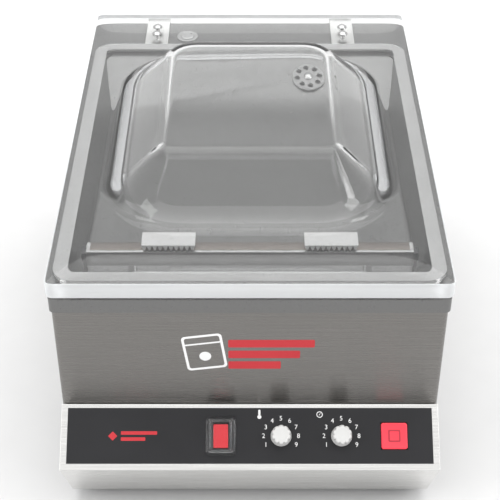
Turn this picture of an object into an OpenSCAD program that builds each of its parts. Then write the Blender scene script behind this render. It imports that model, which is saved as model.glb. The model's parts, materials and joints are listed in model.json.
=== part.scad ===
/* [Body] */
// Width of the lid, the widest piece
lid_w = 330; // [320:1:340]
// Depth of the lid, front to back
lid_d = 464; // [455:1:475]
// Thickness of the clear lid slab
lid_t = 14.6; // [12:0.1:16]
// Width of the sheet-metal casing
case_w = 324.3; // [318:0.1:328]
// Height of the casing, base to lid top
case_h = 243.8; // [235:0.1:255]
// Height of the rubber feet
foot_h = 12; // [8:1:16]

/* [Chamber] */
// Width of the chamber mouth
tub_w = 298; // [290:1:302]
// Depth of the chamber mouth, front to back
tub_d = 368; // [360:1:372]
// Depth of the chamber floor below the lid's top face
floor_drop = 45.5; // [42:0.5:50]
// Slope of the chamber's rear ramp, in degrees
ramp_tilt = 21.7; // [18:0.1:24]
// Height of the lid's dome
dome_h = 41; // [35:1:45]

/* [Console] */
// How far the console stands out at its nose
nose_out = 46; // [40:1:50]
// Height of the console's top edge below the lid's top face
console_drop = 134.1; // [130:0.1:140]
// Height of the console's nose below the lid's top face
nose_drop = 168.9; // [165:0.1:175]
// Diameter of the dial knobs
knob_d = 18; // [16:1:20]

/* [Hidden] */
$fn = 48;
sheet = 1.5;
skin = 1.2;
gap = 0.3;
case_front = 3;
case_back = 454;
hinge_y = 462.5;
hinge_r = 4.5;
lid_y = -(hinge_y + hinge_r - (nose_out - case_front)) / 2;
lid_top = foot_h + case_h;
lid_low = lid_top - lid_t;
flange_z = lid_low - 3;
skirt_z = lid_top - 31;
rim_w = 327.5;
rim_front = 1.5;
rim_back = 455.6;
floor_z = lid_top - floor_drop;
tub_front = 25;
ramp_y = 321;
ramp_top_y = 385;
fillet = 5;
wall_lean = 9;
seal_y = 69;
seal_top = lid_top - 21.5;
seal_l = 274.6;
seal_deep = 12.5;
seal_high = 10.5;
piston_x = 100;
lead_x = 139.4;
lead_y = seal_y - 2;
strainer_x = 61.5;
strainer_y = 364;
strainer_z = floor_z + (strainer_y - ramp_y) * tan(ramp_tilt);
panel_drop = nose_drop - console_drop;
panel_tilt = atan(panel_drop / nose_out);
panel_l = sqrt(nose_out * nose_out + panel_drop * panel_drop);
panel_mid = panel_l / 2;
rocker_x = -24.9;
temp_x = 26.7;
vacuum_x = 78.5;
stop_x = 123.7;
board_x = 126;
overlay_t = 0.5;
hinge_x = 98.5;
hinge_z = 232;
leaf_w = 24;
leaf_front = 406;
leaf_t = 2.5;
screw_ys = [420, 435];
switch_x = -66.6;
switch_y = 427;
shaft_y = 330;
shaft_z = 88;
inlet_x = -105;
inlet_z = 60;
foot_x = 138;
foot_ys = [28, 425];

// A plan rectangle with round corners, centred in X and starting at y0
module round_plan(w, d, r, y0) {
  translate([-w / 2 + r, y0]) square([w - 2 * r, d]);
  translate([-w / 2, y0 + r]) square([w, d - 2 * r]);
  for (x = [-w / 2 + r, w / 2 - r], y = [y0 + r, y0 + d - r]) translate([x, y]) circle(r = r);
}

// Moves children to a place given from the lid's front edge
module at(x, y, z) {
  translate([x, lid_y + y, z]) children();
}

// Extrudes a profile drawn in Y and Z along X, centred
module along_x(w) {
  translate([-w / 2, 0, 0]) rotate([90, 0, 90]) linear_extrude(w) children();
}

// Puts children on the console panel: x across, y up the slope, z out of the panel
module on_panel(x = 0, up = 0) {
  at(x, case_front, lid_top - console_drop) rotate([panel_tilt, 0, 0])
    translate([0, -panel_mid + up, 0]) children();
}

// Puts children on the ramp, z out of its face
module on_ramp() {
  at(strainer_x, strainer_y, strainer_z) rotate([ramp_tilt, 0, 0]) children();
}

// Points of a round corner, from angle a to angle b
function arc(cx, cy, r, a, b, n = 6) =
  [for (i = [0:n]) [cx + r * cos(a + (b - a) * i / n), cy + r * sin(a + (b - a) * i / n)]];

// ---- casing ----

module base_pan() color("gray") difference() {
  union() {
    at(0, 0, foot_h) linear_extrude(2)
      round_plan(case_w - 2 * skin - 0.1, case_back - case_front - 2 * skin - 0.1, 4, case_front + skin + 0.05);
    for (y = [case_front + skin + 0.05, case_back - 2 * skin - 0.05])
      at(-case_w / 2 + 8, y, foot_h + 2) cube([case_w - 16, skin, 10]);
  }
  for (x = [-foot_x, foot_x], y = foot_ys) at(x, y, foot_h - 1) cylinder(d = 5, h = 5);
  for (i = [-4:4]) at(i * 12 - 2, 120, foot_h - 1) cube([4, 60, 4]);
}

module rubber_feet() color("black")
  for (x = [-foot_x, foot_x], y = foot_ys) at(x, y, 0) rotate_extrude()
    polygon([[6, 0], [10.5, 0], [12, 1.5], [13.5, foot_h], [2.6, foot_h], [2.6, 5], [6, 5]]);

module foot_screws() color("silver")
  for (x = [-foot_x, foot_x], y = foot_ys) at(x, y, 0) {
    translate([0, 0, 1.5]) cylinder(d = 8.5, h = 3.5);
    translate([0, 0, 5]) cylinder(d = 4.8, h = foot_h + 1);
  }

module casing_wrap() color("silver") difference() {
  at(0, 0, foot_h) linear_extrude(flange_z - sheet - foot_h) difference() {
    round_plan(case_w, case_back - case_front, 5, case_front);
    round_plan(case_w - 2 * skin, case_back - case_front - 2 * skin, 3.8, case_front + skin);
    translate([-case_w / 2 + 12, case_back - 12]) square([case_w - 24, 13]);
  }
  at(-60, case_front - 1, lid_top - 200) cube([200, 4, 52]);
}

module rear_panel() color("silver") difference() {
  at(-case_w / 2, case_back, foot_h) cube([case_w, skin, skirt_z - foot_h - gap]);
  for (i = [0:9]) at(-30 + i * 14, case_back - 1, 90) cube([4, 4, 60]);
  at(inlet_x - 13.7, case_back - 1, inlet_z - 9.8) cube([27.4, 4, 19.6]);
  for (x = [-156, 156], z = [25, 115, 205]) at(x, case_back - 1, z) rotate([-90, 0, 0])
    cylinder(d = 4, h = 4);
}

module rear_panel_screws() color("silver")
  for (x = [-156, 156], z = [25, 115, 205]) at(x, case_back + skin, z) rotate([-90, 0, 0]) {
    cylinder(d = 7, h = 1.8);
    translate([0, 0, -skin]) cylinder(d = 3.8, h = skin);
  }

// Side profile of the tub, grown outward by t; the front and floor meet in a fillet
module tub_side(t) {
  y0 = tub_front - t;
  z0 = floor_z - t;
  y1 = tub_front + tub_d + t;
  r = fillet + t;
  ramp_z = z0 + (ramp_top_y - ramp_y) * tan(ramp_tilt);
  polygon(concat(
    [[lid_y + y0, flange_z + 1]],
    arc(lid_y + y0 + wall_lean + r, z0 + r, r, 180, 270),
    [[lid_y + ramp_y, z0], [lid_y + ramp_top_y, ramp_z], [lid_y + y1, ramp_z + 3 - t / 3],
     [lid_y + y1, flange_z + 1]]));
}

// End profile of the tub, grown outward by t
module tub_end(t) {
  hw = tub_w / 2 + t;
  z0 = floor_z - t;
  r = fillet + t;
  polygon(concat(
    [[-hw, flange_z + 1]],
    arc(-hw + wall_lean + r, z0 + r, r, 180, 270),
    arc(hw - wall_lean - r, z0 + r, r, 270, 360),
    [[hw, flange_z + 1]]));
}

module tub_solid(t) {
  intersection() {
    along_x(tub_w + 20) tub_side(t);
    translate([0, lid_y + 500, 0]) rotate([90, 0, 0]) linear_extrude(520) tub_end(t);
    at(0, 0, floor_z - 10) linear_extrude(60) round_plan(tub_w + 2 * t, tub_d + 2 * t, 15 + t, tub_front - t);
  }
}

module chamber_tray() color("silver") difference() {
  union() {
    at(0, 0, flange_z - sheet) linear_extrude(sheet)
      round_plan(rim_w, rim_back - rim_front, 5, rim_front);
    at(0, 0, skirt_z) linear_extrude(flange_z - sheet - skirt_z) difference() {
      round_plan(rim_w, rim_back - rim_front, 5, rim_front);
      round_plan(case_w + 0.2, rim_back - sheet - case_front + 0.1, 5, case_front - 0.1);
    }
    intersection() {
      tub_solid(sheet);
      at(-200, 0, floor_z - 10) cube([400, 500, flange_z - sheet / 2 - floor_z + 10]);
    }
  }
  tub_solid(0);
  for (x = [-piston_x, piston_x]) at(x, seal_y, floor_z - 5) cylinder(d = 12, h = 10);
  for (x = [-lead_x, lead_x]) at(x, lead_y, floor_z - 5) cylinder(d = 6, h = 12);
  on_ramp() translate([0, 0, -5]) cylinder(d = 24, h = 10);
  at(switch_x, switch_y, flange_z - 5) cylinder(d = 16.2, h = 10);
}

// ---- console ----

module console_face() color("silver") difference() {
  on_panel() translate([-case_w / 2, -panel_mid, -sheet]) cube([case_w, panel_l - 1.2, sheet]);
  on_panel(rocker_x) translate([-9.7, -13.5, -5]) cube([19.4, 27, 10]);
  for (x = [temp_x, vacuum_x]) on_panel(x) translate([0, 0, -5]) cylinder(d = 9.6, h = 10);
  on_panel(stop_x) translate([-11.6, -11.6, -5]) cube([23.2, 23.2, 10]);
}

// Undercut sheet from the nose down to the base, with the two end cheeks
module console_belly() color("silver") difference() {
  along_x(case_w) translate([lid_y, 0]) polygon([
    [case_front, lid_top - console_drop - sheet / cos(panel_tilt) - 0.1],
    [case_front - nose_out + sheet * sin(panel_tilt), lid_top - nose_drop - sheet * cos(panel_tilt) - 0.1],
    [case_front - 1, foot_h + 0.5], [case_front, foot_h + 0.5]]);
  along_x(case_w - 2 * sheet) translate([lid_y, 0]) polygon([
    [case_front + 1, lid_top - console_drop + 5],
    [case_front - nose_out + 3.4, lid_top - nose_drop + 4],
    [case_front - nose_out + 3.4, lid_top - nose_drop - 2.6],
    [case_front + 1, foot_h + 2]]);
}

module console_overlay() color([0.1, 0.1, 0.11]) difference() {
  on_panel(0, 0.8) translate([-case_w / 2 + 5.5, -panel_mid + 4.5, 0])
    cube([case_w - 11, panel_l - 10, overlay_t]);
  on_panel(rocker_x) translate([-9.7, -13.5, -5]) cube([19.4, 27, 10]);
  for (x = [temp_x, vacuum_x]) on_panel(x) translate([0, 0, -5]) cylinder(d = 15, h = 10);
  on_panel(stop_x) translate([-11.6, -11.6, -5]) cube([23.2, 23.2, 10]);
}

module switch_frame() color([0.08, 0.08, 0.08]) on_panel(rocker_x) difference() {
  translate([-10.65, -14.6, overlay_t]) cube([21.3, 29.2, 2]);
  translate([-6.8, -11.6, -1]) cube([13.6, 23.2, 6]);
}

module switch_body() color([0.08, 0.08, 0.08]) on_panel(rocker_x) difference() {
  translate([-9.6, -13.4, -22]) cube([19.2, 26.8, 22 + overlay_t]);
  translate([-6.8, -11.6, -8]) cube([13.6, 23.2, 10]);
}

// Clear domed splash cover over the rocker
module switch_cover() color([0.9, 0.9, 0.95, 0.3]) on_panel(rocker_x) difference() {
  union() {
    translate([-13.35, -17.2, overlay_t]) cube([26.7, 34.4, 2.9]);
    translate([-10.6, -14.5, overlay_t]) cube([21.2, 29, 8]);
  }
  translate([-10.7, -14.65, overlay_t - 0.1]) cube([21.4, 29.3, 2.15]);
  translate([-9.4, -13.3, 0]) cube([18.8, 26.6, 7.3]);
}

// Rocker tilted about its pin towards its on side
module rocker() color("red") on_panel(rocker_x) translate([0, 0, -1]) rotate([7, 0, 0])
  rotate([90, 0, 90]) translate([0, 0, -6.3]) linear_extrude(12.6) difference() {
    polygon([[-10.1, 4.2], [0, 5.2], [10.1, 4.2], [10.1, 1.5], [4, -3.5], [-4, -3.5], [-10.1, 1.5]]);
    circle(d = 2.2);
  }

// The two potentiometers: can, threaded bush and the clear bore for its shaft
module dial_pots() color("green") for (x = [temp_x, vacuum_x]) on_panel(x) difference() {
  union() {
    translate([0, 0, -13.5]) cylinder(d = 24, h = 12);
    translate([0, 0, -1.5]) cylinder(d = 9.4, h = 6);
  }
  translate([0, 0, -11]) cylinder(d = 6.1, h = 20);
}

module pot_nuts() color("silver") for (x = [temp_x, vacuum_x]) on_panel(x) difference() {
  cylinder(d = 13, h = 2, $fn = 6);
  translate([0, 0, -1]) cylinder(d = 9.6, h = 5);
}

// Fluted knob with a hollow skirt and a blind shaft hole
module knob(x) on_panel(x) difference() {
  union() {
    translate([0, 0, 1.1]) cylinder(d = knob_d, h = 4);
    translate([0, 0, 5]) cylinder(d = knob_d - 2.6, h = 8.6);
  }
  translate([0, 0, 0]) cylinder(d = 15.4, h = 5);
  translate([0, 0, 4]) cylinder(d = 6, h = 7);
  for (i = [0:9]) rotate(i * 36) translate([knob_d / 2, 0, 5.1]) cylinder(d = 4, h = 10);
}

module shaft(x) on_panel(x) translate([0, 0, -10.5]) cylinder(d = 6, h = 21.5);

module temp_knob() color("white") knob(temp_x);
module temp_shaft() color("silver") shaft(temp_x);
module vacuum_knob() color("white") knob(vacuum_x);
module vacuum_shaft() color("silver") shaft(vacuum_x);

module stop_button() color([0.85, 0.15, 0.2]) on_panel(stop_x) {
  translate([0, 0, -1]) linear_extrude(2.6) round_plan(22.4, 22.4, 2, -11.2);
  translate([-4, -4, -3]) cube([8, 8, 2.2]);
}

module stop_switch() color("black") on_panel(stop_x)
  translate([-6, -6, -8]) cube([12, 12, 4]);

module control_board() color("green") on_panel(board_x)
  translate([-32, -20, -9.6]) cube([64, 36, 1.6]);

module board_spacers() color("white")
  for (x = [-28, 28], y = [-15, 12]) on_panel(board_x) translate([x, y, -8]) cylinder(d = 6, h = 6.5);

// ---- inside the casing ----

module transformer_core() color("dimgray") difference() {
  at(60, 60, foot_h + 2) cube([84, 36, 70]);
  for (x = [74, 116]) at(x, 50, foot_h + 16) cube([14, 60, 42]);
}

module transformer_coil() color("peru") difference() {
  at(74.5, 48, foot_h + 16.5) cube([55, 60, 41]);
  at(87.7, 59.7, foot_h + 10) cube([28.6, 36.6, 60]);
}

module pump_motor() color("gray") at(-140, shaft_y, shaft_z) rotate([0, 90, 0]) difference() {
  union() {
    cylinder(d = 112, h = 132);
    for (a = [0:30:330]) rotate(a) translate([54, -1.5, 8]) cube([6, 3, 116]);
  }
  translate([0, 0, -1]) cylinder(d = 100, h = 26);
  translate([0, 0, 5]) cylinder(d = 16.16, h = 130);
}

module pump_block() color("gray") difference() {
  at(-8, shaft_y - 50, shaft_z - 52) cube([108, 100, 104]);
  at(-9, shaft_y, shaft_z) rotate([0, 90, 0]) cylinder(d = 16.16, h = 90);
  at(strainer_x, strainer_y, shaft_z + 30) cylinder(d = 16, h = 30);
}

module pump_shaft() color("silver") at(-132, shaft_y, shaft_z) rotate([0, 90, 0])
  cylinder(d = 16, h = 208);

module motor_fan() color("black") at(-132, shaft_y, shaft_z) rotate([0, 90, 0]) {
  difference() {
    union() {
      cylinder(d = 30, h = 10);
      for (a = [0:60:300]) rotate(a) translate([12, -1, 0]) cube([34, 2, 10]);
    }
    translate([0, 0, -1]) cylinder(d = 16, h = 20);
  }
}

module pump_mounts() color("black") {
  for (x = [5, 87], y = [-40, 40]) at(x, shaft_y + y, foot_h + 2)
    cylinder(d = 14, h = shaft_z - 52 - foot_h - 2);
  for (x = [-115, -45]) at(x, shaft_y - 30, foot_h + 2) difference() {
    cube([10, 60, 34]);
    translate([-1, 30, shaft_z - foot_h - 2]) rotate([0, 90, 0]) cylinder(d = 120, h = 12);
  }
}

module mist_filter() color("silver") at(120, shaft_y, foot_h + 2) {
  cylinder(d = 32, h = 120);
  translate([-20, -6, 50]) cube([10, 12, 12]);
}

// Flange and spout under the strainer
module suction_port() color("silver") difference() {
  union() {
    on_ramp() translate([0, 0, -sheet * 2 - 0.1]) cylinder(d = 34, h = sheet + 0.1);
    at(strainer_x, strainer_y, 200) cylinder(d = 18, h = 24);
  }
  at(strainer_x, strainer_y, 190) cylinder(d = 14, h = 50);
  on_ramp() translate([0, 0, -sheet]) cylinder(d = 60, h = 20);
}

// Bar across the spout that the strainer's screw threads into
module strainer_bridge() color("silver") on_ramp() difference() {
  translate([-11.5, -2.5, -sheet + 0.1]) cube([23, 5, 1.2]);
  translate([0, 0, -5]) cylinder(d = 3.8, h = 10);
}

module suction_hose() color([0.15, 0.15, 0.15]) difference() {
  at(strainer_x, strainer_y, shaft_z + 52) cylinder(d = 24, h = 72);
  at(strainer_x, strainer_y, shaft_z + 40) cylinder(d = 18, h = 90);
}

module strainer_disc() color("white") on_ramp() difference() {
  union() {
    cylinder(r = 16.5, h = 2.2);
    translate([0, 0, 2.2]) cylinder(r1 = 16.5, r2 = 15, h = 0.8);
  }
  for (i = [0:7]) rotate(i * 45 + 10) translate([11.4, 0, -1]) cylinder(d = 5.4, h = 6);
  translate([0, 0, -1]) cylinder(d = 4, h = 6);
}

module strainer_screw() color("silver") on_ramp() {
  translate([0, 0, 3]) intersection() {
    cylinder(d = 8.5, h = 4);
    translate([0, 0, -4]) sphere(r = 6.6);
  }
  translate([0, 0, -1]) cylinder(d = 3.8, h = 4);
}

module vent_valve() color("black") at(18, shaft_y, shaft_z + 52) {
  cylinder(d = 12, h = 6);
  translate([-15, -15, 6]) cube([30, 30, 36]);
}

module seal_valve() color("black") at(-14, seal_y - 14, lid_top - 96) cube([28, 28, 34]);

module air_line() color("deepskyblue") for (s = [-1, 1])
  at(s < 0 ? -piston_x + 13 : 14, seal_y, lid_top - 80) rotate([0, 90, 0])
    cylinder(d = 6, h = piston_x - 27);

module lift_cylinders() color("silver") for (x = [-piston_x, piston_x])
  at(x, seal_y, floor_z - sheet - 40) difference() {
    cylinder(d = 26, h = 40);
    translate([0, 0, 6]) cylinder(d = 16.1, h = 27);
    translate([0, 0, 30]) cylinder(d = 8.1, h = 20);
  }

module lift_pistons() color("silver") for (x = [-piston_x, piston_x])
  at(x, seal_y, floor_z - sheet - 33) {
    cylinder(d = 16, h = 10);
    cylinder(d = 8, h = seal_top - seal_high - floor_z + sheet + 33);
  }

// ---- seal bar ----

module seal_bar() color("silver") difference() {
  at(-seal_l / 2, seal_y - seal_deep / 2, seal_top - seal_high) cube([seal_l, seal_deep, seal_high]);
  at(-seal_l / 2 - 1, seal_y - 2.5, seal_top - 0.3) cube([seal_l + 2, 5, 1]);
}

module seal_wire() color("gray")
  at(-seal_l / 2, seal_y - 2.5, seal_top - 0.3) cube([seal_l, 5, 0.3]);

module seal_tape() color("tan")
  at(-seal_l / 2 + 3, seal_y - seal_deep / 2, seal_top) cube([seal_l - 6, seal_deep, 0.3]);

module wire_clamps() color("black") for (s = [-1, 1])
  at(s * (seal_l / 2 + 2) - 2, seal_y - 4.5, seal_top - seal_high + 2) cube([4, 9, 6]);

// Silicone-sleeved leads from the bar's end clamps down through the floor
module seal_leads() color([0.15, 0.13, 0.13]) for (s = [-1, 1])
  at(s * lead_x, lead_y, floor_z - 16) cylinder(d = 2.8, h = seal_top - seal_high + 2 - floor_z + 16);

// Sleeves that line the lead holes
module floor_grommets() color("black") for (x = [-lead_x, lead_x])
  at(x, lead_y, floor_z - 4) difference() {
    cylinder(d = 6, h = 7);
    translate([0, 0, -1]) cylinder(d = 3, h = 10);
  }

// ---- lid switch and hinges ----

module lid_switch_bezel() color([0.75, 0.75, 0.75]) at(switch_x, switch_y, flange_z) difference() {
  cylinder(d = 22, h = 1.4);
  translate([0, 0, -1]) cylinder(d = 14.16, h = 5);
}

module lid_switch_barrel() color("black") at(switch_x, switch_y, flange_z - 22) difference() {
  cylinder(d = 16.2, h = 22);
  translate([0, 0, 8]) cylinder(d = 14.16, h = 20);
}

module lid_switch_plunger() color("lightgray") at(switch_x, switch_y, flange_z - 10)
  difference() {
    union() {
      cylinder(d = 14, h = 12);
      translate([0, 0, 12]) cylinder(r1 = 7, r2 = 5.5, h = 0.7);
    }
    translate([0, 0, -1]) cylinder(d = 10, h = 8);
  }

module hinge_brackets() color("lightgray") for (s = [-1, 1]) at(s * hinge_x, 0, 0) difference() {
  union() {
    translate([-leaf_w / 2, rim_back, 216]) cube([leaf_w, 2, 20]);
    for (x = [-leaf_w / 2, 6.3]) {
      translate([x, hinge_y, hinge_z]) rotate([0, 90, 0]) cylinder(r = hinge_r, h = leaf_w / 2 - 6.3);
      translate([x, rim_back, hinge_z - hinge_r]) cube([leaf_w / 2 - 6.3, hinge_y - rim_back, 5]);
    }
  }
  translate([-20, hinge_y, hinge_z]) rotate([0, 90, 0]) cylinder(d = 4.1, h = 40);
}

module hinge_pins() color("silver") for (s = [-1, 1])
  at(s * hinge_x - leaf_w / 2 - 0.5, hinge_y, hinge_z) rotate([0, 90, 0]) cylinder(d = 4, h = leaf_w + 1);

module hinge_leaves() color("lightgray") for (s = [-1, 1]) at(s * hinge_x, 0, 0) difference() {
  union() {
    translate([-leaf_w / 2, leaf_front, lid_low - leaf_t]) cube([leaf_w, hinge_y - leaf_front + 2, leaf_t]);
    translate([-6, hinge_y, hinge_z]) rotate([0, 90, 0]) cylinder(r = hinge_r, h = 12);
    translate([-6, hinge_y - 1.5, hinge_z + 2]) cube([12, 4, lid_low - hinge_z - 3]);
  }
  translate([-20, hinge_y, hinge_z]) rotate([0, 90, 0]) cylinder(d = 4.1, h = 40);
  for (y = screw_ys) translate([0, y, lid_low - 5]) cylinder(d = 5, h = 10);
}

module hinge_screws() color("silver") for (s = [-1, 1], y = screw_ys) at(s * hinge_x, y, 0) {
  translate([0, 0, lid_low - leaf_t]) cylinder(d = 5, h = lid_t + leaf_t);
  translate([0, 0, lid_top]) intersection() {
    cylinder(d = 10, h = 4);
    translate([0, 0, -3]) sphere(r = 6.2);
  }
}

// ---- lid ----

// Dome shape: sloped sides up from the slab, shrunk inward by t
module dome_solid(t) {
  foot_hw = 117 - t * 1.4;
  top_hw = 76 - t * 0.4;
  top_z = lid_top + dome_h - t;
  intersection() {
    translate([0, lid_y + 500, 0]) rotate([90, 0, 0]) linear_extrude(520)
      polygon([[-foot_hw, lid_top - 0.01], [foot_hw, lid_top - 0.01], [top_hw, top_z], [-top_hw, top_z]]);
    along_x(300) translate([lid_y, 0])
      polygon([[89 + t * 1.4, lid_top - 0.01], [372 - t * 1.4, lid_top - 0.01],
               [328 + t * 0.4, top_z], [136 - t * 0.4, top_z]]);
    at(0, 0, lid_top - 1) linear_extrude(60) round_plan(2 * foot_hw, 283 - 2.8 * t, 40 - 4 * t, 89 + 1.4 * t);
  }
}

module lid_panel() color([0.85, 0.9, 0.95, 0.35]) difference() {
  union() {
    at(0, 0, lid_low) linear_extrude(lid_t) round_plan(lid_w, lid_d, 6, 0);
    dome_solid(0);
  }
  dome_solid(5);
  at(0, 0, lid_low - 1) linear_extrude(lid_t + 1.02) round_plan(220, 269, 20, 96);
  at(0, 0, lid_low - 1) linear_extrude(5) difference() {
    round_plan(320, 393, 17, 12);
    round_plan(297, 370, 6, 23.5);
  }
  for (x = [-hinge_x, hinge_x], y = screw_ys) at(x, y, lid_low - 1) cylinder(d = 5.2, h = 20);
}

module lid_gasket() color([0.8, 0.8, 0.78]) at(0, 0, flange_z + gap) linear_extrude(lid_low + 4 - flange_z - gap)
  difference() {
    round_plan(320, 393, 17, 12);
    round_plan(297, 370, 6, 23.5);
  }

// Ribbed silicone pads over the seal bar
module bag_pads() color([0.85, 0.85, 0.83]) for (s = [-1, 1]) at(s * 68.5 - 22.5, 61, 0) {
  translate([0, 0, lid_low - 2]) cube([45, 18, 2]);
  for (i = [0:9]) translate([i * 4.5 + 1, 0, lid_low - 6]) cube([2.5, 18, 4]);
}

// ---- mains inlet ----

module power_inlet() color("black") difference() {
  union() {
    at(inlet_x - 15, case_back + skin, inlet_z - 12) cube([30, 3, 24]);
    at(inlet_x - 13.5, case_back - 24, inlet_z - 9.6) cube([27, 24 + skin, 19.2]);
  }
  at(inlet_x - 12, case_back - 14, inlet_z - 8.2) cube([24, 20, 16.4]);
}

module inlet_pins() color("silver") for (p = [[-7, -2], [0, 2], [7, -2]])
  at(inlet_x + p[0] - 1, case_back - 14, inlet_z + p[1] - 2) cube([2, 13, 4]);

base_pan();
rubber_feet();
foot_screws();
casing_wrap();
rear_panel();
rear_panel_screws();
chamber_tray();
console_face();
console_belly();
console_overlay();
switch_frame();
switch_body();
switch_cover();
rocker();
dial_pots();
pot_nuts();
temp_knob();
temp_shaft();
vacuum_knob();
vacuum_shaft();
stop_button();
stop_switch();
control_board();
board_spacers();
transformer_core();
transformer_coil();
pump_motor();
pump_block();
pump_shaft();
motor_fan();
pump_mounts();
mist_filter();
suction_port();
suction_hose();
strainer_bridge();
strainer_disc();
strainer_screw();
vent_valve();
seal_valve();
air_line();
lift_cylinders();
lift_pistons();
seal_bar();
seal_wire();
seal_tape();
wire_clamps();
seal_leads();
floor_grommets();
lid_switch_bezel();
lid_switch_barrel();
lid_switch_plunger();
hinge_brackets();
hinge_pins();
hinge_leaves();
hinge_screws();
lid_panel();
lid_gasket();
bag_pads();
power_inlet();
inlet_pins();
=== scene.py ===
import json
import math

import bpy
import bmesh
from mathutils import Matrix, Vector


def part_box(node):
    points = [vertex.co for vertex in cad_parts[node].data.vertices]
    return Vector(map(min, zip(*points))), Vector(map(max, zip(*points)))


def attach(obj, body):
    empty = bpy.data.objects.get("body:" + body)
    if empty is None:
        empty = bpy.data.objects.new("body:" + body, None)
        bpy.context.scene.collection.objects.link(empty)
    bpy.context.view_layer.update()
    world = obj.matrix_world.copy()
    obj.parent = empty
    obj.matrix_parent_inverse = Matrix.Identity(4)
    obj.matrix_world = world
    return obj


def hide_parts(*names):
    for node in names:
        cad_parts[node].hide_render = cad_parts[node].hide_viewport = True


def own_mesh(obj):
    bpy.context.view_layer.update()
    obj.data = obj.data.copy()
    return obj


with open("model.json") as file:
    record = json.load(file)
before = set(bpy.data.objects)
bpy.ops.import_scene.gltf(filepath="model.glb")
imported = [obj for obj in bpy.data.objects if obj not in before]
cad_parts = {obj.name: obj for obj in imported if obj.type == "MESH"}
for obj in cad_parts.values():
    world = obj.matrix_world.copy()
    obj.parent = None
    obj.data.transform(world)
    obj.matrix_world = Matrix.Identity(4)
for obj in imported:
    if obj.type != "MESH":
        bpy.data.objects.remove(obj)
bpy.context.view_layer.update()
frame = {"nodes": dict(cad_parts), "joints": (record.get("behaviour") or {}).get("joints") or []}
MM = 0.001

# ---- places worked out from the frame ----

lid_lo, lid_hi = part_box("lid_panel")
LID_T = 14.6 * MM
LID_LOW = lid_lo[2]
LID_TOP = LID_LOW + LID_T
LID_FRONT = lid_lo[1]
JOINTS = {j["name"]: j for j in frame["joints"]}
PANEL_N = Vector(JOINTS["temp_knob_turn"]["axis"]).normalized()
PANEL_X = Vector((1, 0, 0))
PANEL_UP = PANEL_N.cross(PANEL_X)
PANEL_MID = Vector(JOINTS["temp_knob_turn"]["pos_m"])
PANEL_MID.x = 0
TEMP_X = JOINTS["temp_knob_turn"]["pos_m"][0] / MM
VACUUM_X = JOINTS["vacuum_knob_turn"]["pos_m"][0] / MM
ROCKER_X = JOINTS["rocker_tilt"]["pos_m"][0] / MM
stop_lo, stop_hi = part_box("stop_button")
STOP_X = (stop_lo[0] + stop_hi[0]) / 2 / MM
OVERLAY_T = 0.5


def at(x, y, z):
    """A place in mm: across, back from the lid's front edge, and up from the lid's top face."""
    return Vector((x * MM, LID_FRONT + y * MM, LID_TOP + z * MM))


def on_panel(x, up, out):
    """A place in mm on the console panel: across, up the slope, and out of the face."""
    return PANEL_MID + (PANEL_X * x + PANEL_UP * up + PANEL_N * out) * MM


# ---- camera ----

# in mm in front of the lid's front edge and above its top face, and degrees below the horizon
CAM_BACK = 774.8
CAM_HIGH = 632.5
CAM_PITCH = 37.66
cam_data = bpy.data.cameras.new("camera")
cam_data.lens = 90.44
cam_data.sensor_width = 36
cam_data.shift_x = 0.0003
cam = bpy.data.objects.new("camera", cam_data)
cam.location = at(0, -CAM_BACK, CAM_HIGH)
cam.rotation_euler = (math.radians(90 - CAM_PITCH), 0, 0)
bpy.context.scene.collection.objects.link(cam)
bpy.context.scene.camera = cam

# ---- mesh helpers ----


def new_object(name, verts, faces, smooth_angle=35):
    mesh = bpy.data.meshes.new(name)
    mesh.from_pydata([tuple(v) for v in verts], [], faces)
    bm = bmesh.new()
    bm.from_mesh(mesh)
    bmesh.ops.recalc_face_normals(bm, faces=bm.faces)
    bm.to_mesh(mesh)
    bm.free()
    mesh.shade_smooth()
    mesh.set_sharp_from_angle(angle=math.radians(smooth_angle))
    obj = bpy.data.objects.new(name, mesh)
    bpy.context.scene.collection.objects.link(obj)
    return obj


def loft(name, rings, closed=False, smooth_angle=35):
    """Joins rings of equally many points: capped at both ends, or closed into a hoop."""
    count = len(rings[0])
    verts = [p for ring in rings for p in ring]
    faces = []
    pairs = len(rings) if closed else len(rings) - 1
    for k in range(pairs):
        a = k * count
        b = ((k + 1) % len(rings)) * count
        faces += [(a + i, a + (i + 1) % count, b + (i + 1) % count, b + i) for i in range(count)]
    if not closed:
        faces.append(tuple(range(count)))
        last = (len(rings) - 1) * count
        faces.append(tuple(last + i for i in range(count)))
    return new_object(name, verts, faces, smooth_angle)


def round_rect(hw, y0, y1, r, r_back=None, n=12):
    """A rectangle's outline with round corners, in mm, anticlockwise; the back corners may differ."""
    rb = r if r_back is None else r_back
    pts = []
    for cx, cy, rc, start in ((hw - r, y0 + r, r, -90), (hw - rb, y1 - rb, rb, 0),
                              (-hw + rb, y1 - rb, rb, 90), (-hw + r, y0 + r, r, 180)):
        for i in range(n + 1):
            a = math.radians(start + 90 * i / n)
            pts.append((cx + rc * math.cos(a), cy + rc * math.sin(a)))
    return pts


def lid_ring(hw, y0, y1, r, z, r_back=None):
    return [at(x, y, z) for x, y in round_rect(hw, y0, y1, r, r_back)]


def finish_piece(obj, body, slot, material, *replaced):
    """Gives a piece its material and body, and hides the CAD nodes it takes the place of; slot is not
    used.
    """
    obj.data.materials.clear()
    obj.data.materials.append(material)
    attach(obj, body)
    if replaced:
        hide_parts(*replaced)
    return obj


def soften(obj, width):
    """Rounds the sharp edges, by a width in mm."""
    bevel = obj.modifiers.new("edges", "BEVEL")
    bevel.width = width * MM
    bevel.segments = 2
    bevel.limit_method = "ANGLE"
    bevel.angle_limit = math.radians(35)
    normals = obj.modifiers.new("normals", "WEIGHTED_NORMAL")
    normals.keep_sharp = False


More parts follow.
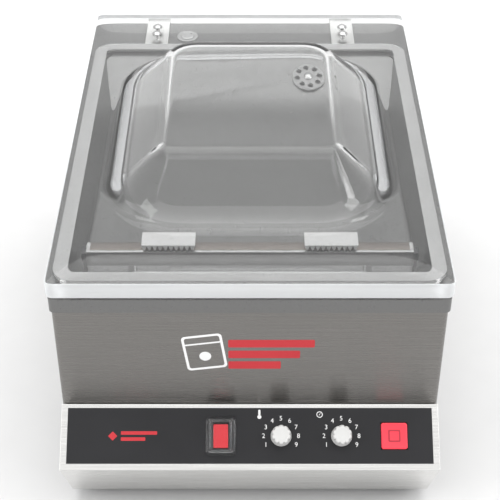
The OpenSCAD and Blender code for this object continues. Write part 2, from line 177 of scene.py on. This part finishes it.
def dress(node, material, width):
    """Gives a CAD node its material, with its edges eased."""
    obj = frame["nodes"][node]
    obj.data.materials.clear()
    obj.data.materials.append(material)
    for poly in obj.data.polygons:
        poly.use_smooth = True
        poly.material_index = 0
    if "custom_normal" in obj.data.attributes:
        obj.data.attributes.remove(obj.data.attributes["custom_normal"])
    weld = obj.modifiers.new("weld", "WELD")
    weld.merge_threshold = 0.000002
    soften(obj, width)
    return obj


# ---- materials ----

NOISE_LOW = 0.3
NOISE_HIGH = 0.7


def nodes_of(name):
    """A new material with its node tree and its shader."""
    mat = bpy.data.materials.new(name)
    mat.use_nodes = True
    tree = mat.node_tree
    return mat, tree, tree.nodes["Principled BSDF"]


def noise_at(tree, scale, detail, rough):
    """Noise on the object's own coordinates, in waves per metre along each axis."""
    coord = tree.nodes.new("ShaderNodeTexCoord")
    mapping = tree.nodes.new("ShaderNodeMapping")
    mapping.inputs["Scale"].default_value = scale
    noise = tree.nodes.new("ShaderNodeTexNoise")
    noise.inputs["Scale"].default_value = 1
    noise.inputs["Detail"].default_value = detail
    noise.inputs["Roughness"].default_value = rough
    tree.links.new(coord.outputs["Object"], mapping.inputs["Vector"])
    tree.links.new(mapping.outputs["Vector"], noise.inputs["Vector"])
    return noise.outputs["Fac"]


def ranged(tree, fac, low, high):
    """Stretches a noise's usual spread onto low to high."""
    node = tree.nodes.new("ShaderNodeMapRange")
    node.inputs["From Min"].default_value = NOISE_LOW
    node.inputs["From Max"].default_value = NOISE_HIGH
    node.inputs["To Min"].default_value = low
    node.inputs["To Max"].default_value = high
    tree.links.new(fac, node.inputs["Value"])
    return node.outputs["Result"]


def tinted(tree, fac, dark, light):
    """Turns a noise into colours from dark to light."""
    ramp = tree.nodes.new("ShaderNodeValToRGB")
    ramp.color_ramp.elements[0].position = NOISE_LOW
    ramp.color_ramp.elements[1].position = NOISE_HIGH
    ramp.color_ramp.elements[0].color = (*dark, 1)
    ramp.color_ramp.elements[1].color = (*light, 1)
    tree.links.new(fac, ramp.inputs["Fac"])
    return ramp.outputs["Color"]


def bumped(tree, bsdf, fac, strength, distance):
    """Raises the surface with the noise, by a distance in mm."""
    bump = tree.nodes.new("ShaderNodeBump")
    bump.inputs["Strength"].default_value = strength
    bump.inputs["Distance"].default_value = distance * MM
    tree.links.new(fac, bump.inputs["Height"])
    tree.links.new(bump.outputs["Normal"], bsdf.inputs["Normal"])


def shades(color, spread):
    """The darkest and the lightest of a colour's shades."""
    return [c * (1 - spread) for c in color], [min(1, c * (1 + spread)) for c in color]


def metal(name, color, rough, grain, spread, bump, aniso=0.0):
    """Metal with a brushed grain: the grain runs along the axis with the small scale."""
    mat, tree, bsdf = nodes_of(name)
    bsdf.inputs["Metallic"].default_value = 1
    bsdf.inputs["Anisotropic"].default_value = aniso
    bsdf.inputs["Anisotropic Rotation"].default_value = 0.25
    fine = noise_at(tree, grain, 5, 0.7)
    dark, light = shades(color, spread)
    tree.links.new(tinted(tree, fine, dark, light), bsdf.inputs["Base Color"])
    tree.links.new(ranged(tree, fine, rough * 0.85, rough * 1.2), bsdf.inputs["Roughness"])
    bumped(tree, bsdf, fine, bump, 0.05)
    return mat


def moulded(name, color, rough, size=600, spread=0.06, bump=0.15, depth=0.05, gloss=0.5):
    """Plastic, rubber or paint: a fine even texture with soft blotches."""
    mat, tree, bsdf = nodes_of(name)
    bsdf.inputs["Specular IOR Level"].default_value = gloss
    fine = noise_at(tree, (size, size, size), 3, 0.6)
    broad = noise_at(tree, (25, 25, 25), 2, 0.5)
    dark, light = shades(color, spread)
    tree.links.new(tinted(tree, broad, dark, light), bsdf.inputs["Base Color"])
    tree.links.new(ranged(tree, fine, rough * 0.85, min(1, rough * 1.15)), bsdf.inputs["Roughness"])
    bumped(tree, bsdf, fine, bump, depth)
    return mat


def clear(name, color, rough, ior=1.49, lets_light=0.95, through=1.0):
    """Clear or frosted plastic that lets lamps light what is behind it."""
    mat, tree, bsdf = nodes_of(name)
    bsdf.inputs["Base Color"].default_value = (*color, 1)
    bsdf.inputs["Transmission Weight"].default_value = through
    bsdf.inputs["IOR"].default_value = ior
    fine = noise_at(tree, (700, 700, 700), 2, 0.5)
    tree.links.new(ranged(tree, fine, rough * 0.9, rough * 1.1), bsdf.inputs["Roughness"])
    path = tree.nodes.new("ShaderNodeLightPath")
    see_through = tree.nodes.new("ShaderNodeBsdfTransparent")
    see_through.inputs["Color"].default_value = (lets_light, lets_light, lets_light, 1)
    mix = tree.nodes.new("ShaderNodeMixShader")
    out = tree.nodes["Material Output"]
    tree.links.new(path.outputs["Is Shadow Ray"], mix.inputs["Fac"])
    tree.links.new(bsdf.outputs["BSDF"], mix.inputs[1])
    tree.links.new(see_through.outputs["BSDF"], mix.inputs[2])
    tree.links.new(mix.outputs["Shader"], out.inputs["Surface"])
    return mat


def silicone(name, color, rough, glow):
    """Milky silicone: soft scatter under a slightly waxy surface."""
    mat = moulded(name, color, rough, 400, 0.04, 0.1)
    bsdf = mat.node_tree.nodes["Principled BSDF"]
    bsdf.inputs["Subsurface Weight"].default_value = glow
    bsdf.inputs["Subsurface Radius"].default_value = (0.004, 0.004, 0.004)
    bsdf.inputs["Subsurface Scale"].default_value = 1
    return mat


def wound(name, color):
    """Varnished wire in even turns, one above the other, with painted shade in the grooves between turns
    and a painted highlight on their crests.
    """
    mat, tree, bsdf = nodes_of(name)
    bsdf.inputs["Roughness"].default_value = 0.35
    coord = tree.nodes.new("ShaderNodeTexCoord")
    wave = tree.nodes.new("ShaderNodeTexWave")
    wave.bands_direction = "Z"
    wave.inputs["Scale"].default_value = 280
    wave.inputs["Distortion"].default_value = 0.4
    tree.links.new(coord.outputs["Object"], wave.inputs["Vector"])
    # the colour follows the bump's bands: painted shade in the grooves, painted highlight on the crests
    dark, light = shades(color, 0.35)
    tree.links.new(tinted(tree, wave.outputs["Fac"], dark, light), bsdf.inputs["Base Color"])
    bumped(tree, bsdf, wave.outputs["Fac"], 0.5, 0.2)
    return mat


def lit(name, color, rough, glow_color, glow):
    """Coloured plastic with a faint emission: a painted glow that brightens its colour."""
    mat = moulded(name, color, rough, 400, 0.05, 0.05)
    bsdf = mat.node_tree.nodes["Principled BSDF"]
    bsdf.inputs["Emission Color"].default_value = (*glow_color, 1)
    bsdf.inputs["Emission Strength"].default_value = glow
    return mat


case_steel = metal("case_steel", (0.205, 0.198, 0.189), 0.26, (9, 900, 900), 0.10, 0.03, 0.75)
tray_steel = metal("tray_steel", (0.185, 0.185, 0.183), 0.30, (500, 500, 500), 0.03, 0.01)
console_steel = metal("console_steel", (0.78, 0.775, 0.76), 0.24, (9, 900, 900), 0.10, 0.03, 0.6)
sheet_steel = metal("sheet_steel", (0.5, 0.5, 0.5), 0.38, (120, 120, 120), 0.18, 0.2)
bright = metal("bright_metal", (0.78, 0.78, 0.78), 0.14, (300, 300, 300), 0.05, 0.05)
screw_steel = metal("screw_steel", (0.5, 0.5, 0.5), 0.12, (250, 250, 250), 0.06, 0.05)
bar_metal = metal("bar_aluminium", (0.55, 0.55, 0.545), 0.2, (14, 900, 900), 0.08, 0.02)
hinge_metal = metal("hinge_metal", (0.62, 0.62, 0.61), 0.34, (400, 20, 400), 0.05, 0.03)
pump_metal = metal("pump_iron", (0.45, 0.47, 0.5), 0.5, (500, 500, 500), 0.2, 0.5)
brass = metal("brass", (0.75, 0.6, 0.3), 0.3, (400, 400, 400), 0.1, 0.1)
pot_metal = metal("pot_metal", (0.7, 0.68, 0.6), 0.3, (200, 200, 200), 0.1, 0.1)
iron = moulded("iron", (0.10, 0.10, 0.11), 0.5, 900, 0.2, 0.3)
black_plastic = moulded("black_plastic", (0.02, 0.02, 0.022), 0.38)
overlay_film = moulded("overlay_film", (0.020, 0.020, 0.022), 0.42, 1500, 0.08, 0.25, 0.04, gloss=0.25)
white_plastic = moulded("white_plastic", (0.64, 0.64, 0.63), 0.35, 500, 0.02, 0.08)
strainer_plastic = moulded("strainer_plastic", (0.26, 0.26, 0.258), 0.4, 500, 0.03, 0.08)
red_pad = moulded("red_pad", (0.90, 0.045, 0.075), 0.38, 1500, 0.04, 0.2, 0.03)
red_dark = moulded("red_print", (0.42, 0.02, 0.04), 0.42, 1500, 0.04)
red_print = moulded("red_mark", (0.55, 0.02, 0.03), 0.42, 1500, 0.04)
white_print = moulded("white_mark", (0.9, 0.9, 0.9), 0.45, 1500, 0.03)
rubber = moulded("foot_rubber", (0.025, 0.025, 0.025), 0.7, 700, 0.15, 0.4)
hose_rubber = moulded("hose_rubber", (0.04, 0.04, 0.04), 0.6, 500, 0.15, 0.3)
board_mat = moulded("board", (0.02, 0.16, 0.06), 0.35, 300, 0.2, 0.3)
nylon = moulded("nylon", (0.78, 0.78, 0.73), 0.45)
filter_paint = moulded("filter_can", (0.2, 0.26, 0.32), 0.35, 500, 0.06, 0.2)
blue_tube = moulded("blue_tube", (0.04, 0.2, 0.55), 0.25)
tape_mat = metal("ptfe_tape", (0.19, 0.17, 0.155), 0.42, (500, 500, 500), 0.10, 0.1)
lead_mat = moulded("lead_silicone", (0.05, 0.045, 0.045), 0.5)
bezel_metal = metal("bezel_metal", (0.42, 0.42, 0.42), 0.3, (200, 200, 200), 0.08, 0.1)
coil_mat = wound("copper_coil", (0.45, 0.22, 0.08))
acrylic = clear("clear_acrylic", (0.985, 0.99, 0.99), 0.0)
acrylic_edge = clear("frosted_acrylic", (0.85, 0.865, 0.875), 0.5, lets_light=0.6, through=0.35)
boot_clear = clear("clear_boot", (0.97, 0.975, 0.98), 0.02, 1.32)
gasket_mat = silicone("gasket_silicone", (0.30, 0.30, 0.298), 0.3, 0.1)
pad_mat = silicone("pad_silicone", (0.40, 0.40, 0.397), 0.3, 0.3)
# the rocker lens gets a faint emission: a painted glow on its red
red_lens = lit("red_lens", (0.60, 0.008, 0.018), 0.2, (1, 0.03, 0.06), 0.06)

# ---- CAD nodes that keep their shape ----

DRESSED = {
    "base_pan": (sheet_steel, 0.2), "rubber_feet": (rubber, 0.6), "foot_screws": (screw_steel, 0.3),
    "casing_wrap": (case_steel, 0.2), "rear_panel": (case_steel, 0.2),
    "rear_panel_screws": (screw_steel, 0.4), "chamber_tray": (tray_steel, 1.0),
    "console_face": (console_steel, 0.3), "console_belly": (console_steel, 0.3),
    "console_overlay": (overlay_film, 0.12), "switch_frame": (black_plastic, 0.5),
    "switch_body": (black_plastic, 0.3), "dial_pots": (pot_metal, 0.3), "pot_nuts": (screw_steel, 0.2),
    "temp_shaft": (bright, 0.3), "vacuum_shaft": (bright, 0.3), "stop_switch": (black_plastic, 0.3),
    "control_board": (board_mat, 0.1), "board_spacers": (nylon, 0.3), "transformer_core": (iron, 0.4),
    "transformer_coil": (coil_mat, 2.0), "pump_motor": (pump_metal, 0.5), "pump_block": (pump_metal, 2.0),
    "pump_shaft": (bright, 0.4), "motor_fan": (black_plastic, 0.3), "pump_mounts": (rubber, 0.6),
    "mist_filter": (filter_paint, 1.5), "suction_port": (tray_steel, 0.2),
    "suction_hose": (hose_rubber, 0.4),
    "strainer_bridge": (tray_steel, 0.2), "strainer_disc": (strainer_plastic, 0.3),
    "strainer_screw": (screw_steel, 0.2), "vent_valve": (black_plastic, 0.8),
    "seal_valve": (black_plastic, 0.8), "air_line": (blue_tube, 0.2), "lift_cylinders": (sheet_steel, 0.4),
    "lift_pistons": (bright, 0.3), "seal_bar": (bar_metal, 1.1), "seal_wire": (bar_metal, 0.05),
    "wire_clamps": (black_plastic, 0.4), "seal_leads": (lead_mat, 0.4),
    "floor_grommets": (rubber, 0.3), "lid_switch_bezel": (bezel_metal, 0.4),
    "lid_switch_barrel": (black_plastic, 0.3), "lid_switch_plunger": (bezel_metal, 0.4),
    "hinge_brackets": (hinge_metal, 0.3), "hinge_pins": (bright, 0.4), "hinge_leaves": (hinge_metal, 0.5),
    "hinge_screws": (screw_steel, 0.3), "power_inlet": (black_plastic, 0.6), "inlet_pins": (brass, 0.3),
}
for node, (material, width) in DRESSED.items():
    dress(node, material, width)

# ---- lid ----

# plans in mm: half width, front, back, corner radius, and a radius of its own for the back corners
GROOVE = (160.15, 11.85, 405.15, 17.15)
GROOVE_IN = (148.35, 23.35, 393.65, 6)
GROOVE_DEEP = 4.15
DOME_FOOT = (117, 89, 372, 62, 62)
DOME_CROWN = (77.5, 136, 328, 12, 26)
HOLLOW_FOOT = (123.1, 82.9, 378.1, 66, 66)
HOLLOW_CROWN = (75, 138.5, 325.5, 10, 24)
DOME_WALL = 6
LID_CORNER = 6
# the slab's underside lies this far above the tops of the pads, so that the two share no face
AIR_GAP = 0.1


def dome_profile(z0, z1, foot, top):
    """Pairs of fraction across the slope and height, with a curve at the foot and the top."""
    pts = []
    steps = 8
    for i in range(steps + 1):
        s = i / steps
        u = -foot * (1 - s) ** 2 + foot * s ** 2
        pts.append((u, z0 + (z1 - z0) * foot * s ** 2))
    for i in range(steps + 1):
        s = i / steps
        u = (1 - top) * (1 - s) ** 2 + 2 * s * (1 - s) + (1 + top) * s ** 2
        pts.append((u, z1 - (z1 - z0) * top * (1 - s) ** 2))
    return pts


def dome_rings(base, crown, profile):
    """Plans between the foot's and the crown's, one for each step of the profile."""
    rings = []
    for u, z in profile:
        hw, y0, y1, r, r_back = [b + (c - b) * u for b, c in zip(base, crown)]
        rings.append(lid_ring(hw, y0, y1, r, z, r_back))
    return rings


def make_lid():
    """Slab, dome, groove and hollow in one closed clear shell, with frosted edges round the slab."""
    half, deep, t = lid_hi[0] / MM, (lid_hi[1] - lid_lo[1]) / MM, LID_T / MM - AIR_GAP
    dome_h = (lid_hi[2] - LID_TOP) / MM
    outer = dome_rings(DOME_FOOT, DOME_CROWN, dome_profile(0, dome_h, foot=0.22, top=0.09))
    inner = dome_rings(HOLLOW_FOOT, HOLLOW_CROWN,
                       dome_profile(-t, dome_h - DOME_WALL, foot=0.2, top=0.11))
    rings = outer[::-1]
    ease = 0.6
    edge = ((ease, 0), (ease / 4, -ease / 4), (0, -ease),
            (0, -t + ease), (ease / 4, -t + ease / 4), (ease, -t))
    for inset, z in edge:
        rings.append(lid_ring(half - inset, inset, deep - inset, LID_CORNER - inset, z))
    rings += [lid_ring(*GROOVE, -t), lid_ring(*GROOVE, -t + GROOVE_DEEP)]
    rings += [lid_ring(*GROOVE_IN, -t + GROOVE_DEEP), lid_ring(*GROOVE_IN, -t)]
    rings += inner
    obj = loft("lid_dome", rings, smooth_angle=30)
    finish_piece(obj, "lid", "clear_acrylic", acrylic, "lid_panel")
    obj.data.materials.append(acrylic_edge)
    count = len(rings[0])
    for k in range(len(outer) * count, (len(outer) + len(edge) - 1) * count):
        obj.data.polygons[k].material_index = 1


make_lid()


# half width, front and back in mm
GASKET = (160, 12, 405)
GASKET_W = 11.5
GASKET_CORNER = 17
GASKET_CORNER_IN = 6


def make_gasket():
    """A silicone ring that fills the lid's groove, with two soft lips below."""
    low = (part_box("lid_gasket")[0][2] - LID_TOP) / MM
    top = (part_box("lid_gasket")[1][2] - LID_TOP) / MM
    mid = -LID_T / MM
    lip = [(0, mid), (0.3, low + 1.6), (1.2, low + 0.4), (2.6, low), (5.0, low + 0.5)]
    section = [(0, top)] + lip + [(GASKET_W - inset, z) for inset, z in lip[::-1]] + [(GASKET_W, top)]
    half, front, back = GASKET
    rings = []
    for inset, z in section:
        corner = GASKET_CORNER + (GASKET_CORNER_IN - GASKET_CORNER) * inset / GASKET_W
        rings.append(lid_ring(half - inset, front + inset, back - inset, corner, z))
    return loft("gasket_ring", rings, closed=True, smooth_angle=50)


finish_piece(make_gasket(), "lid", "gasket_silicone", gasket_mat, "lid_gasket")


def make_pads():
    """Two ribbed pads under the lid, each one lofted along the bar's width with round ribs."""
    lo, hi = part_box("bag_pads")
    verts = []
    faces = []
    ribs = 10
    steps = 10
    width = 45 * MM
    outline = [(-1, 0.15), (-0.97, 0.5), (-0.9, 0.85), (-0.75, 1), (0.75, 1), (0.9, 0.85),
               (0.97, 0.5), (1, 0.15)]
    mid = (lo[1] + hi[1]) / 2
    half = (hi[1] - lo[1]) / 2
    row = len(outline) + 2
    for side in (-1, 1):
        x0 = lo[0] if side < 0 else hi[0] - width
        columns = []
        for i in range(ribs * steps + 1):
            wave = 0.5 - 0.5 * math.cos(2 * math.pi * i / steps)
            depth = 0.25 + 0.75 * wave ** 0.6
            columns.append((x0 + width * i / (ribs * steps), hi[2] - (hi[2] - lo[2]) * depth))
        start = len(verts)
        for x, z in columns:
            verts.append((x, mid - half, hi[2]))
            for s, d in outline:
                verts.append((x, mid + half * s, hi[2] + (z - hi[2]) * d))
            verts.append((x, mid + half, hi[2]))
        for c in range(len(columns) - 1):
            for k in range(row):
                a = start + c * row + k
                b = start + c * row + (k + 1) % row
                faces.append((a, b, b + row, a + row))
        faces.append(tuple(start + k for k in range(row)))
        last = start + (len(columns) - 1) * row
        faces.append(tuple(last + k for k in range(row)))
    return new_object("ribbed_pads", verts, faces, 60)


pads = finish_piece(make_pads(), "lid", "pad_silicone", pad_mat, "bag_pads")
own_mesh(pads)


# in mm: how far the tape's edges stay inside the CAD strip, and its waves, sag and rounded edges
TAPE_FRONT = 2.6
TAPE_BACK = 0.3
TAPE_WAVE = 0.12
TAPE_SAG = 0.05
TAPE_EDGE = 0.3
TAPE_THIN = 0.1


def make_tape():
    """The strip over the wire: a little narrower than the bar, with slightly wavy edges."""
    lo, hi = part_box("seal_tape")
    steps = 90
    rings = []
    for i in range(steps + 1):
        x = lo[0] + (hi[0] - lo[0]) * i / steps
        front = lo[1] + (TAPE_FRONT + TAPE_WAVE * math.sin(i * 0.9)) * MM
        back = hi[1] - (TAPE_BACK + TAPE_WAVE * math.sin(i * 0.7 + 1)) * MM
        crest = hi[2] - TAPE_SAG * MM * (1 + math.sin(i * 0.45)) / 2
        low = crest - TAPE_THIN * MM
        edge = TAPE_EDGE * MM
        section = ((front, lo[2]), (back, lo[2]), (back, low), (back - edge, crest),
                   (front + edge, crest), (front, low))
        rings.append([Vector((x, y, z)) for y, z in section])
    return loft("tape_strip", rings, smooth_angle=40)


finish_piece(make_tape(), "seal_bar_carriage", "ptfe_tape", tape_mat, "seal_tape")

# ---- console controls ----


def panel_ring(cx, outline, out):
    return [on_panel(cx + x, up, out) for x, up in outline]


def knob(name, x, body, node):
    """A fluted dial knob that stands at x on the panel."""
    flutes = 10
    count = flutes * 12

    def outline(r, cut):
        pts = []
        for i in range(count):
            a = 2 * math.pi * i / count
            dip = cut * max(0, math.cos(flutes * a)) ** 1.5
            pts.append(((r - dip) * math.cos(a), (r - dip) * math.sin(a)))
        return pts

    # radius, depth of the flutes and distance out of the panel, from inside the skirt to the top
    profile = [(7.7, 0, 4.8), (7.7, 0, 1.1), (8.6, 0, 1.1), (8.95, 0.1, 1.4), (9.0, 0.3, 2.4),
               (8.9, 0.8, 3.4), (8.6, 1.1, 4.4), (8.35, 1.15, 6.0), (8.1, 1.15, 11.8),
               (7.9, 1.05, 12.7), (7.4, 0.8, 13.3), (6.6, 0.4, 13.6), (5.2, 0.1, 13.55), (4.6, 0, 13.2)]
    rings = [panel_ring(x, outline(r, cut), out) for r, cut, out in profile]
    obj = loft(name, rings, smooth_angle=40)
    return finish_piece(obj, body, "white_plastic", white_plastic, node)


knob("temp_dial_knob", TEMP_X, "temp_dial", "temp_knob")
knob("vacuum_dial_knob", VACUUM_X, "vacuum_dial", "vacuum_knob")


def centred_rect(hw, hh, r, n=8):
    return round_rect(hw, -hh, hh, r, n=n)


def make_stop():
    """The square stop key on its stem, with a shallow dish in its face."""
    # half width, corner radius and distance out of the panel
    profile = [(11.2, 2.0, -1.0), (11.2, 2.0, 1.0), (11.0, 1.9, 1.4), (10.5, 1.6, 1.6),
               (9.6, 1.2, 1.62), (9.2, 1.0, 1.5)]
    rings = [panel_ring(STOP_X, centred_rect(h, h, r), out) for h, r, out in profile]
    stem = [panel_ring(STOP_X, centred_rect(4, 4, 0.5), out) for out in (-3, -1.0)]
    return loft("stop_pad_key", stem + rings, smooth_angle=40)


finish_piece(make_stop(), "stop_pad", "red_pad", red_pad, "stop_button")


def make_rocker():
    """The lens of the rocker: crowned halves that meet in a shallow valley over the pin."""
    pin = Vector(JOINTS["rocker_tilt"]["pos_m"])
    tilt = Matrix.Rotation(math.radians(7), 4, "X")
    half_w = 6.3
    lower = [(-10.1, 1.5), (-10.1, 3.7), (-9.7, 4.2), (-8, 4.15), (-4, 4.3)]
    upper = [(-up, out) for up, out in lower[::-1]]
    side = lower + [(0, 4.7)] + upper + [(4, -3.5), (-4, -3.5)]
    left = [(-half_w, 0.94), (-half_w + 0.3, 0.985), (-half_w + 0.9, 1)]
    rings = []
    for x, shrink in left + [(-x, shrink) for x, shrink in left[::-1]]:
        ring = []
        for up, out in side:
            local = tilt @ Vector((0, up * shrink, out * shrink))
            ring.append(pin + (PANEL_X * x + PANEL_UP * local.y + PANEL_N * local.z) * MM)
        rings.append(ring)
    return loft("rocker_lens", rings, smooth_angle=35)


finish_piece(make_rocker(), "power_rocker", "red_lens", red_lens, "rocker")


def make_cover():
    """The clear splash cover: a raised boot on a flange, open below, with a thin wall all round."""
    # half width, half height, corner radius and distance out of the panel
    outer = [(13.35, 17.2, 4.0, 0.5), (13.35, 17.2, 4.0, 1.9), (13.1, 16.95, 3.9, 2.5),
             (12.5, 16.3, 3.6, 2.9), (11.4, 15.2, 3.2, 3.2), (10.7, 14.6, 3.0, 4.2),
             (10.5, 14.4, 3.0, 6.4), (10.1, 14.0, 2.9, 7.6), (9.3, 13.2, 2.7, 8.3), (8.2, 12.1, 2.3, 8.5)]
    inner = [(7.9, 11.8, 2.0, 7.7), (8.9, 12.8, 2.2, 7.4), (9.4, 13.3, 2.3, 6.4),
             (9.6, 13.5, 2.3, 3.0), (10.75, 14.7, 0.6, 2.6), (10.75, 14.7, 0.6, 0.5)]
    rings = [panel_ring(ROCKER_X, centred_rect(w, h, r), out) for w, h, r, out in outer + inner]
    count = len(rings[0])
    verts = [p for ring in rings for p in ring]
    faces = []
    for k in range(len(rings)):
        if k == len(outer) - 1:
            continue
        a = k * count
        b = ((k + 1) % len(rings)) * count
        faces += [(a + i, a + (i + 1) % count, b + (i + 1) % count, b + i) for i in range(count)]
    for k in (len(outer) - 1, len(outer)):
        faces.append(tuple(k * count + i for i in range(count)))
    return new_object("splash_cover", verts, faces, 50)


finish_piece(make_cover(), "housing", "clear_boot", boot_clear, "switch_cover")

# ---- printed marks ----

# in mm, with DIGIT_STEP, FIRST_DIGIT and the last value of POUCH_PLACE in degrees
PRINT_T = 0.05
DIGIT_SIZE = 5.6
DIGIT_R = 15.0
FIRST_DIGIT = 210
DIGIT_STEP = 30
SYMBOL_X = -18.5
STEM_UP = 19.6
BULB_UP = 16.4
GAUGE_UP = 18.4
CASING_FRONT = 3
POUCH_PLACE = (-38, -75.5, 8)


def flat_print(name, outlines, place, body, slot, material):
    """Thin raised shapes: each outline is a list of points, and place turns (x, y, out) into metres."""
    verts = []
    faces = []
    for outline in outlines:
        start = len(verts)
        n = len(outline)
        verts += [place(x, y, 0) for x, y in outline]
        verts += [place(x, y, PRINT_T) for x, y in outline]
        faces.append(tuple(start + i for i in range(n))[::-1])
        faces.append(tuple(start + n + i for i in range(n)))
        for i in range(n):
            j = (i + 1) % n
            faces.append((start + i, start + j, start + n + j, start + n + i))
    return finish_piece(new_object(name, verts, faces), body, slot, material)


def hoop_print(name, pairs, place, body, slot, material):
    """Thin raised frames, each between an outer and an inner outline of equally many points."""
    verts = []
    faces = []
    for outer, inner in pairs:
        start = len(verts)
        n = len(outer)
        for ring, out in ((outer, 0), (outer, PRINT_T), (inner, PRINT_T), (inner, 0)):
            verts += [place(x, y, out) for x, y in ring]
        for k in range(4):
            a = start + k * n
            b = start + ((k + 1) % 4) * n
            faces += [(a + i, a + (i + 1) % n, b + (i + 1) % n, b + i) for i in range(n)]
    return finish_piece(new_object(name, verts, faces), body, slot, material)


def moved(outline, dx, dy, turn=0.0):
    """An outline turned by some degrees, then moved."""
    c, s = math.cos(math.radians(turn)), math.sin(math.radians(turn))
    return [(dx + x * c - y * s, dy + x * s + y * c) for x, y in outline]


def disc(r, n=24):
    return [(r * math.cos(2 * math.pi * i / n), r * math.sin(2 * math.pi * i / n)) for i in range(n)]


def panel_print(x, up, out):
    return on_panel(x, up, out + OVERLAY_T)


def digit_mesh():
    """All the dial digits as one thin mesh."""
    verts = []
    faces = []
    for dial_x in (TEMP_X, VACUUM_X):
        for number in range(1, 10):
            angle = math.radians(FIRST_DIGIT - (number - 1) * DIGIT_STEP)
            curve = bpy.data.curves.new("digit", "FONT")
            curve.body = str(number)
            curve.size = DIGIT_SIZE
            curve.align_x = "CENTER"
            curve.align_y = "CENTER"
            curve.extrude = PRINT_T / 2
            obj = bpy.data.objects.new("digit", curve)
            bpy.context.scene.collection.objects.link(obj)
            bpy.context.view_layer.update()
            mesh = obj.evaluated_get(bpy.context.evaluated_depsgraph_get()).to_mesh()
            start = len(verts)
            cx = dial_x + DIGIT_R * math.cos(angle)
            cy = DIGIT_R * math.sin(angle)
            verts += [panel_print(cx + v.co.x, cy + v.co.y, v.co.z + PRINT_T / 2) for v in mesh.vertices]
            faces += [tuple(start + i for i in p.vertices) for p in mesh.polygons]
            bpy.data.objects.remove(obj)
            bpy.data.curves.remove(curve)
    return new_object("dial_digits", verts, faces)


finish_piece(digit_mesh(), "housing", "white_plastic", white_print)

# small symbols: a thermometer by the first dial, a pressure gauge by the second
stem_outline = moved(centred_rect(0.9, 3.0, 0.9, 6), TEMP_X + SYMBOL_X, STEM_UP)
bulb = moved(disc(1.7), TEMP_X + SYMBOL_X, BULB_UP)
flat_print("heat_symbol", [stem_outline, bulb], panel_print, "housing", "white_plastic", white_print)
gauge = [moved(disc(r), VACUUM_X + SYMBOL_X, GAUGE_UP) for r in (2.7, 2.1)]
hoop_print("gauge_symbol", [gauge], panel_print, "housing", "white_plastic", white_print)
needle = moved([(-0.25, -0.8), (0.25, -0.8), (0.1, 1.7), (-0.1, 1.7)], VACUUM_X + SYMBOL_X, GAUGE_UP, -35)
flat_print("gauge_needle", [needle], panel_print, "housing", "white_plastic", white_print)


def stop_print(x, up, out):
    """A place on the stop key's dished face."""
    return on_panel(x, up, out + 1.5)


# a square for stop on the red key, and the mark by the switch
square = [moved(centred_rect(h, h, r), STOP_X, 0) for h, r in ((5.2, 1.0), (3.9, 0.5))]
hoop_print("stop_symbol", [square], stop_print, "stop_pad", "red_pad", red_dark)
marks = [moved(centred_rect(15.5, 1.5, 0.6), -95, 2.6), moved(centred_rect(10.5, 1.5, 0.6), -100, -2.6),
         moved(centred_rect(2.8, 2.8, 0.4), -117.5, 0, 45)]
flat_print("panel_mark", marks, panel_print, "housing", "red_pad", red_print)


def front_print(x, y, out):
    """A place on the casing's front: across, and up from the lid's top face."""
    point = at(x, CASING_FRONT, y)
    point.y -= out * MM
    return point


# a pouch with its seal line, and three bars beside it
pouch = moved(centred_rect(17, 19, 3.5), *POUCH_PLACE)
pouch_in = moved(centred_rect(14.8, 16.8, 2.2), *POUCH_PLACE)
seal_line = moved(centred_rect(14.8, 0.8, 0.4), -39.4, -66, 8)
hoop_print("pouch_mark", [(pouch, pouch_in)], front_print, "housing", "white_plastic", white_print)
contents = moved(disc(5.0), -37.3, -80, 8)
flat_print("pouch_seal_line", [seal_line, contents], front_print, "housing", "white_plastic", white_print)
bars = [moved(centred_rect(w, 4.2, 1.2), x, y) for w, x, y in ((36, 18, -66), (30, 12, -78), (22, 4, -90))]
flat_print("front_bars", bars, front_print, "housing", "red_pad", red_print)

# ---- floor, light ----


def make_floor():
    """A wide pale sheet under everything."""
    span = 6.0
    verts = [(-span, -span, 0), (span, -span, 0), (span, span, 0), (-span, span, 0)]
    obj = new_object("floor", verts, [(0, 1, 2, 3)])
    mat = moulded("floor_paper", (0.74, 0.74, 0.74), 0.9, 80, 0.01, 0.02)
    obj.data.materials.append(mat)


make_floor()


def softbox(name, place, aim, size, power, size_y=None):
    """A soft rectangular lamp that faces its aim, with sizes in metres and power in watts."""
    data = bpy.data.lights.new(name, "AREA")
    data.shape = "RECTANGLE"
    data.size = size
    data.size_y = size_y or size
    data.energy = power
    obj = bpy.data.objects.new(name, data)
    obj.location = place
    direction = Vector(aim) - Vector(place)
    obj.rotation_euler = direction.to_track_quat("-Z", "Y").to_euler()
    bpy.context.scene.collection.objects.link(obj)


softbox("overhead", place=(0, 0.35, 2.3), aim=(0, 0.35, 0), size=3.2, power=35, size_y=2.5)
softbox("left_fill", place=(-1.8, -0.9, 1.2), aim=(0, 0, 0.15), size=1.0, power=10)
softbox("right_fill", place=(1.8, -0.6, 1.4), aim=(0, 0, 0.15), size=0.8, power=10)

world = bpy.data.worlds.new("studio")
bpy.context.scene.world = world
world.use_nodes = True
background = world.node_tree.nodes["Background"]
background.inputs["Color"].default_value = (1, 1, 1, 1)
background.inputs["Strength"].default_value = 1.0
bpy.context.scene.view_settings.view_transform = "Standard"
